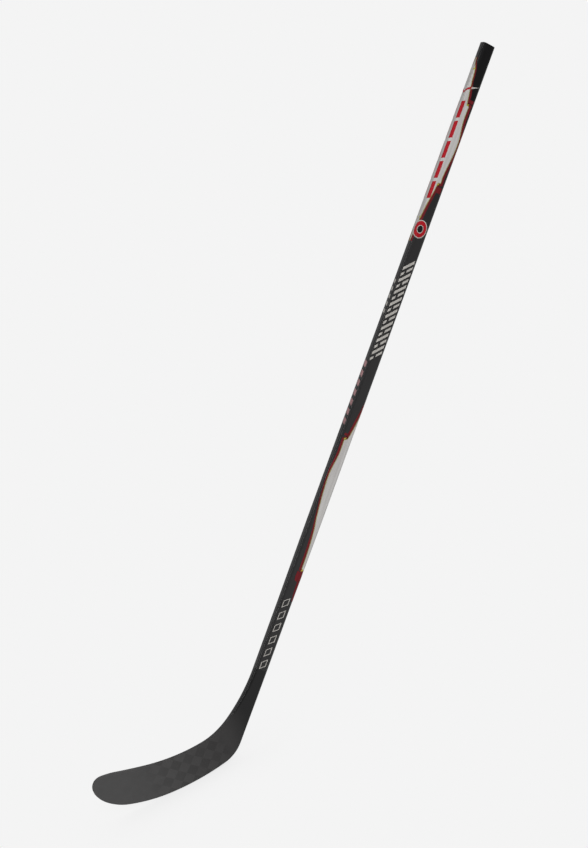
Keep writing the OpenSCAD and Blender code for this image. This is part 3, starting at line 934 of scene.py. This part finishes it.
# Borders of the grey panels on the backhand face, as runs of (c, z) knots with a notch between runs
UPPER_RUNS = [
    [(-21.4, 1491), (-19.8, 1481), (-14.8, 1467), (-12.8, 1455), (-12.2, 1445), (-8.9, 1421), (-4.2, 1393)],
    [(1.6, 1391), (0.9, 1372), (2.1, 1352), (6.9, 1322), (6.3, 1292), (0.4, 1242), (1.0, 1228)],
    [(-5, 1226), (-6.8, 1211), (-12.2, 1180), (-14.6, 1160), (-21.5, 1098)],
]
LOWER_RUNS = [
    [(21.4, 768), (16.2, 749), (6.9, 696), (3.2, 679)],
    [(-3.9, 675), (-3.9, 645), (-9.2, 605), (-8.3, 564), (-2.6, 512),
     (2.2, 484), (5.4, 451), (6.4, 423), (6.6, 402)],
    [(13, 398), (21.2, 395)],
]


def border(runs):
    """The runs as one line, with close points across each notch so that the film hugs the corners there."""
    line = smooth_line(runs[0])
    for run in runs[1:]:
        (c0, z0), (c1, z1) = line[-1], run[0]
        n = math.ceil(abs(c1 - c0) / COLUMN)
        line += [(c0 + (c1 - c0) * k / n, z0 + (z1 - z0) * k / n) for k in range(1, n)]
        line += smooth_line(run)
    return line


def panel(line, side):
    """A grey panel from its border on the backhand face round a narrow face to its mirrored border."""
    return film_between(line, mirrored(line, side))


def band(line, near, far, side):
    """A band beside a border on both faces, between two distances from it."""
    inner, outer = offset_line(line, near), offset_line(line, far)
    return both_faces(lambda place: film_between(place(inner), place(outer)), side)


UPPER_BORDER = border(UPPER_RUNS)
LOWER_BORDER = border(LOWER_RUNS)
PIN_W = 1.5             # width of the gold pinline
TRIM_W = 5.2            # width of the dark red trim outside it
BAR_GAP = 0.03          # between films that lie side by side


def slim_trim(z):
    """Outer distance of the upper trim, which is slimmer near the butt end."""
    slim_w, slim_above, change = 2.6, 1440, 25
    share = min(max((slim_above - z) / change, 0), 1)
    return PIN_W + slim_w + (TRIM_W - slim_w) * share


def waisted_trim(z):
    """Outer distance of the lower trim, which is slimmer halfway down."""
    waist_w, waist_z, half_l = 3.2, 550, 50
    share = min(max((abs(z - waist_z) - half_l) / half_l, 0), 1)
    return -PIN_W - waist_w - (TRIM_W - waist_w) * share


def patch(run, low, high, c, side):
    """Trim laid over a run's band, from the band's middle out to c, between two heights."""
    line = offset_line(smooth_line(run, 1.0), -side * (PIN_W + 1.5))
    near = [p for p in line if low <= p[1] <= high]
    far = [(c, z) for _, z in near]
    return both_faces(lambda place: film_between(place(near), place(far), 1), side)


def panels():
    film_piece("upper_grey_panel", panel(offset_line(UPPER_BORDER, -BAR_GAP), -1),
               GREY_FILM, "grey_film", "upper_panel_decal")
    film_piece("upper_gold_pinline", band(UPPER_BORDER, 0, PIN_W, -1),
               GOLD_FILM, "gold_film", "upper_pinline_decal")
    # Each patch: its run, the lowest and highest z, and the c it reaches
    upper_trim = [band(UPPER_BORDER, PIN_W + BAR_GAP, slim_trim, -1)]
    for run, low, high, c in ((UPPER_RUNS[0], 1398.5, 1406, 9.5), (UPPER_RUNS[2], 1206, 1219, 9.0)):
        upper_trim.append(patch(run, low, high, c, -1))
    film_piece("upper_red_trim", joined(upper_trim), DARK_RED_FILM, "dark_red_film", "upper_trim_decal")
    film_piece("lower_grey_panel", panel(offset_line(LOWER_BORDER, BAR_GAP), 1),
               GREY_FILM, "grey_film", "lower_panel_decal")
    film_piece("lower_gold_pinline", band(LOWER_BORDER, 0, -PIN_W, 1),
               GOLD_FILM, "gold_film", "lower_pinline_decal")
    block_side = [(-2.2, 395.5), (-2.4, 385), (-1.6, 376), (5.6, 373.5)]
    block_edge = [(20, 391), (20, 384), (20, 376), (20, 373.5)]
    block = both_faces(lambda place: film_between(place(block_side), place(block_edge), 1), 1)
    tail_side = [(5.8, 373.4), (6.2, 360), (7.5, 346), (9, 334), (15, 312)]
    tail_edge = [(20, z) for _, z in tail_side]
    tail = both_faces(lambda place: film_between(place(tail_side), place(tail_edge)), 1)
    trim = band(LOWER_BORDER, -PIN_W - BAR_GAP, waisted_trim, 1)
    filler = patch(LOWER_RUNS[0], 684, 690.5, -8.8, 1)
    film_piece("lower_red_trim", joined([trim, filler, block, tail]),
               DARK_RED_FILM, "dark_red_film", "lower_trim_decal")


def accents():
    """Yellow flecks where the borders turn."""
    half_w, rise, stroke = 2.2, 2.4, 3.0
    left = [(-15.5, 1464), (-1.5, 1391), (-3.5, 1220), (-16, 1147)]
    right = [(-4, 676), (7.5, 396)]
    parts = []
    for places, side in ((left, -1), (right, 1)):
        for c, z in places:
            low = [(c - half_w, z), (c - half_w, z + stroke)]
            high = [(c + half_w, z + rise), (c + half_w, z + rise + stroke)]
            parts.append(both_faces(lambda place: film_between(place(low), place(high), 1), side))
    film_piece("border_flecks", joined(parts), YELLOW_FILM, "yellow_film", "accent_decal")


BADGE_C = -6.5
BADGE_Z = 1126.0
BADGE_HALF_W = 15.5
BADGE_HALF_H = 19.0


def badge_band(near, far):
    """The part of the badge between two insets from its edge; far at the half width closes the middle."""
    sides = 72
    n = max(1, math.ceil((far - near) / COLUMN))
    rows = []
    for k in range(n + 1):
        inset = near + (far - near) * k / n
        w, h = BADGE_HALF_W - inset, BADGE_HALF_H - inset * (BADGE_HALF_H / BADGE_HALF_W)
        row = []
        for i in range(sides):
            a = 2 * math.pi * i / sides
            row.append((BADGE_C + w * math.cos(a), BADGE_Z + h * math.sin(a)))
        rows.append(row)
    return film_sheet(rows, 1, closed=True)


def badge():
    ring, centre, inner_ring = 1.6, 9.6, 1.2
    outline = joined([badge_band(0, ring), badge_band(centre - inner_ring, centre)])
    field = badge_band(ring + BAR_GAP, centre - inner_ring - BAR_GAP)
    film_piece("badge_outline", outline, PALE_FILM, "pale_film", "badge_outline_decal")
    film_piece("badge_field", field, RED_FILM, "red_film", "badge_field_decal")
    film_piece("badge_centre", badge_band(centre + BAR_GAP, BADGE_HALF_W),
               BLACK_FILM, "black_film", "badge_centre_decal")


def corner_dashes():
    """Red dashes along the toe-side corner."""
    count, pitch, dash_l, first_z = 5, 43, 36, 1189
    c0, c1, rise = -17, -9.5, 3
    parts = []
    for i in range(count):
        z = first_z + i * pitch
        left, right = [], []
        for lift in steps(0, dash_l, 9):
            left.append((c0, z + lift))
            right.append((c1, z + rise + lift))
        parts.append(both_faces(lambda place: film_between(place(left), place(right), 1)))
    film_piece("corner_dashes", joined(parts), RED_FILM, "red_film", "corner_dashes_decal")


CROSS_C = -7.0
CROSS_Z = 1426.0
CROSS_T = 4.5


def cross_stroke():
    """A stroke across the narrow face, with pale tips that taper off on the broad faces."""
    middle = -CORNER_X - SHAFT_R * math.pi / 2 - CORNER_Y
    fall, bend = 11, 1.3
    low = []
    for c in steps(CROSS_C, middle, 20):
        low.append((c, CROSS_Z - fall * ((CROSS_C - c) / (CROSS_C - middle)) ** bend))
    low += [(c, z) for c, z in mirrored(low[:-1], -1)][::-1]
    high = [(c, z + CROSS_T) for c, z in low]
    film_piece("cross_stroke", film_between(low, high, 1), RED_FILM, "red_film", "cross_stroke_decal")
    start, end = CROSS_C + BAR_GAP, 11
    below = [(c, CROSS_Z + 9.5 * (c - start) / (end - start)) for c in steps(start, end, 24)]
    above = [(c, CROSS_Z + CROSS_T + 5.2 * (c - start) / (end - start)) for c in steps(start, end, 24)]
    tip = both_faces(lambda place: film_between(place(below), place(above), 1))
    film_piece("cross_tip", tip, PALE_FILM, "pale_film", "cross_tip_decal")


def bar(c0, c1, z, rise, stroke):
    """A slanted bar on both faces, laid in strips along c."""
    n = max(1, math.ceil(abs(c1 - c0) / COLUMN))
    low = [(c0 + (c1 - c0) * k / n, z + rise * k / n) for k in range(n + 1)]
    high = [(c, lift + stroke) for c, lift in low]
    return both_faces(lambda place: film_between(place(low), place(high)))


def broad_marks():
    """Groups of slanted bars on the middle of the broad faces, and open frames on their slim end."""
    bars_z, bars_pitch, frames_z, frames_pitch, side_points = 850.5, 25.8, 183.5, 26.3, 16
    parts = []
    for i in range(8):
        z = bars_z + bars_pitch * i
        parts += [bar(-12.4, 8.2, z + 5, 20.5, 7), bar(-2.5, 8.2, z + 2.8, 10.5, 6)]
        parts.append(bar(-12.4, -6.8, z - 7.4, 5.8, 6))
    film_piece("broad_face_bars", joined(parts), PALE_FILM, "pale_film", "block_marks_decal")
    frames = []
    for i in range(6):
        z = frames_z + frames_pitch * i
        outer = [(-8, z), (4.6, z + 8.4), (4.6, z + 23.4), (-8, z + 15)]
        inner = [(-6.5, z + 2.8), (3.1, z + 9.2), (3.1, z + 20.6), (-6.5, z + 14.2)]
        rows = []
        for loop in (outer, inner):
            row = []
            for (ca, za), (cb, zb) in zip(loop, loop[1:] + loop[:1]):
                for k in range(side_points):
                    share = k / side_points
                    row.append((ca + (cb - ca) * share, za + (zb - za) * share))
            rows.append(row)
        for side_rows in (rows, [mirrored(row, -1) for row in rows]):
            frames.append(film_sheet(side_rows, 0, closed=True))
    film_piece("open_frame_marks", joined(frames), PALE_FILM, "pale_film", "thin_marks_decal")


def edge_marks():
    """Bars and dashes on the toe-side narrow face, each from y0 to y1."""
    for name, count, first_z, pitch, y0, y1, rise, stroke, material, slot, node in (
        ("edge_bars", 5, 942, 16, -2.6, 2.6, 3, 8, PALE_FILM, "pale_film", "edge_bars_decal"),
        ("edge_dashes", 7, 704, 20.5, -5.6, 3, 4, 12, PINK_FILM, "pink_film", "edge_dashes_decal"),
    ):
        parts = []
        for i in range(count):
            z = first_z + pitch * i
            near = [(edge_c(y0, z), z), (edge_c(y0, z), z + stroke)]
            far = [(edge_c(y1, z), z + rise), (edge_c(y1, z), z + rise + stroke)]
            parts.append(film_between(near, far))
        film_piece(name, joined(parts), material, slot, node)


panels()
accents()
badge()
corner_dashes()
cross_stroke()
broad_marks()
edge_marks()

# ---- Floor, light and camera ----

BACKDROP = 0.905        # tone of paper and backdrop in the picture
FLOOR_SIZE = 60.0
FLOOR_Z = -0.0006       # just below the ice contact, in metres
FLOOR_NEAR = 0.50       # the floor's glow on the object, near and far
FLOOR_FAR = 0.10
GLOW_REACH = (0.3, 7.0)         # and the distances between which it changes
SHADE = 0.85            # tone of the contact shadow against the paper
SKY_DARK = 0.24         # the room's glow on the object, in front of it and behind it
SKY_BRIGHT = 0.80


def studio_floor():
    """Pale floor that shows as even paper with a faint contact shadow, and glows less further out."""
    mesh = bpy.data.meshes.new("floor")
    size, z = FLOOR_SIZE, FLOOR_Z
    corners = [(-size, -size, z), (size, -size, z), (size, size, z), (-size, size, z)]
    mesh.from_pydata(corners, [], [(0, 1, 2, 3)])
    floor = bpy.data.objects.new("floor", mesh)
    bpy.context.scene.collection.objects.link(floor)
    material = bpy.data.materials.new("floor_paper")
    material.use_nodes = True
    t = material.node_tree
    t.nodes.clear()
    contact = add_node(t, "ShaderNodeAmbientOcclusion", {"samples": 8}, Distance=0.12).outputs["AO"]
    seen = calc(t, "MULTIPLY", fade(t, contact, 0.0, 1.0, SHADE, 1.0), BACKDROP)
    here = add_node(t, "ShaderNodeNewGeometry")
    reach = add_node(t, "ShaderNodeVectorMath", {"operation": "LENGTH"})
    socket(t, reach.inputs[0], here.outputs["Position"])
    glow = fade(t, reach.outputs["Value"], *GLOW_REACH, FLOOR_NEAR, FLOOR_FAR)
    ray = add_node(t, "ShaderNodeLightPath").outputs["Is Camera Ray"]
    light = add_node(t, "ShaderNodeEmission", Strength=blend_numbers(t, ray, glow, seen))
    clear = add_node(t, "ShaderNodeBsdfTransparent")
    sides = add_node(t, "ShaderNodeMixShader")
    socket(t, sides.inputs[0], here.outputs["Backfacing"])
    socket(t, sides.inputs[1], light.outputs[0])
    socket(t, sides.inputs[2], clear.outputs[0])
    add_node(t, "ShaderNodeOutputMaterial", Surface=sides.outputs[0])
    mesh.materials.append(material)


def studio_world():
    """Even pale backdrop for the camera; for the object, a dim room with a bright wall behind it."""
    world = bpy.data.worlds.new("studio")
    bpy.context.scene.world = world
    world.use_nodes = True
    t = world.node_tree
    t.nodes.clear()
    ray = add_node(t, "ShaderNodeLightPath").outputs["Is Camera Ray"]
    direction = add_node(t, "ShaderNodeTexCoord").outputs["Generated"]
    side = add_node(t, "ShaderNodeVectorMath", {"operation": "DOT_PRODUCT"})
    socket(t, side.inputs[0], direction)
    side.inputs[1].default_value = forward
    sky = fade(t, side.outputs["Value"], 0.1, 0.95, SKY_DARK, SKY_BRIGHT)
    strength = blend_numbers(t, ray, sky, BACKDROP)
    back = add_node(t, "ShaderNodeBackground", Color=rgb(1, 1, 1), Strength=strength)
    add_node(t, "ShaderNodeOutputWorld", Surface=back.outputs[0])


def softbox(name, towards, distance, size, power, in_gloss=True, in_matte=True):
    """An area light that shines on the object's middle from a direction in the frame."""
    middle = (cad_low + cad_high) / 2
    lamp = bpy.data.lights.new(name, "AREA")
    lamp.shape = "RECTANGLE"
    lamp.size, lamp.size_y = size
    lamp.energy = power
    place = bpy.data.objects.new(name, lamp)
    towards = Vector(towards).normalized()
    across = EZ.cross(towards).normalized()
    place.matrix_world = Matrix((across, towards.cross(across), towards)).transposed().to_4x4()
    place.location = middle + towards * distance
    place.visible_glossy = in_gloss
    place.visible_diffuse = in_matte
    bpy.context.scene.collection.objects.link(place)


VIEW_TURN = 29 * DEG        # the camera looks this far round from square on to the backhand face
VIEW_ROLL = 20.03 * DEG     # the shaft leans this far in the picture
VIEW_DISTANCE = 3.0         # where the camera stands, in metres from the heel
VIEW_SIDE = -0.1052
VIEW_HEIGHT = 0.6708
LENS = 63.05                # focal length and sensor width, in millimetres
SENSOR = 36

right = EX * math.cos(VIEW_TURN) - EY * math.sin(VIEW_TURN)
forward = EX * math.sin(VIEW_TURN) + EY * math.cos(VIEW_TURN)
picture_right = right * math.cos(VIEW_ROLL) + EZ * math.sin(VIEW_ROLL)
picture_up = EZ * math.cos(VIEW_ROLL) - right * math.sin(VIEW_ROLL)
KEY_SIDE = picture_up * 0.22 - forward * 0.9 + right * 0.25
FILL_SIDE = -forward * 0.2 - right * 0.97
STRIP_SIDE = -forward * 0.62 - right * 0.79


def camera():
    data = bpy.data.cameras.new("camera")
    data.sensor_width = SENSOR
    data.lens = LENS
    place = bpy.data.objects.new("camera", data)
    at = HEEL + right * VIEW_SIDE + EZ * VIEW_HEIGHT - forward * VIEW_DISTANCE
    turn = Matrix((picture_right, picture_up, -forward)).transposed().to_4x4()
    place.matrix_world = Matrix.Translation(at) @ turn
    bpy.context.scene.collection.objects.link(place)
    bpy.context.scene.camera = place


studio_floor()
studio_world()
softbox("key", KEY_SIDE, distance=3.2, size=(2.4, 2.4), power=79, in_gloss=False)
softbox("fill", FILL_SIDE, distance=3.2, size=(1.5, 3.0), power=26, in_gloss=False)
softbox("strip", STRIP_SIDE, distance=3.0, size=(0.16, 4.0), power=17, in_matte=False)
camera()
bpy.context.scene.view_settings.view_transform = "Standard"
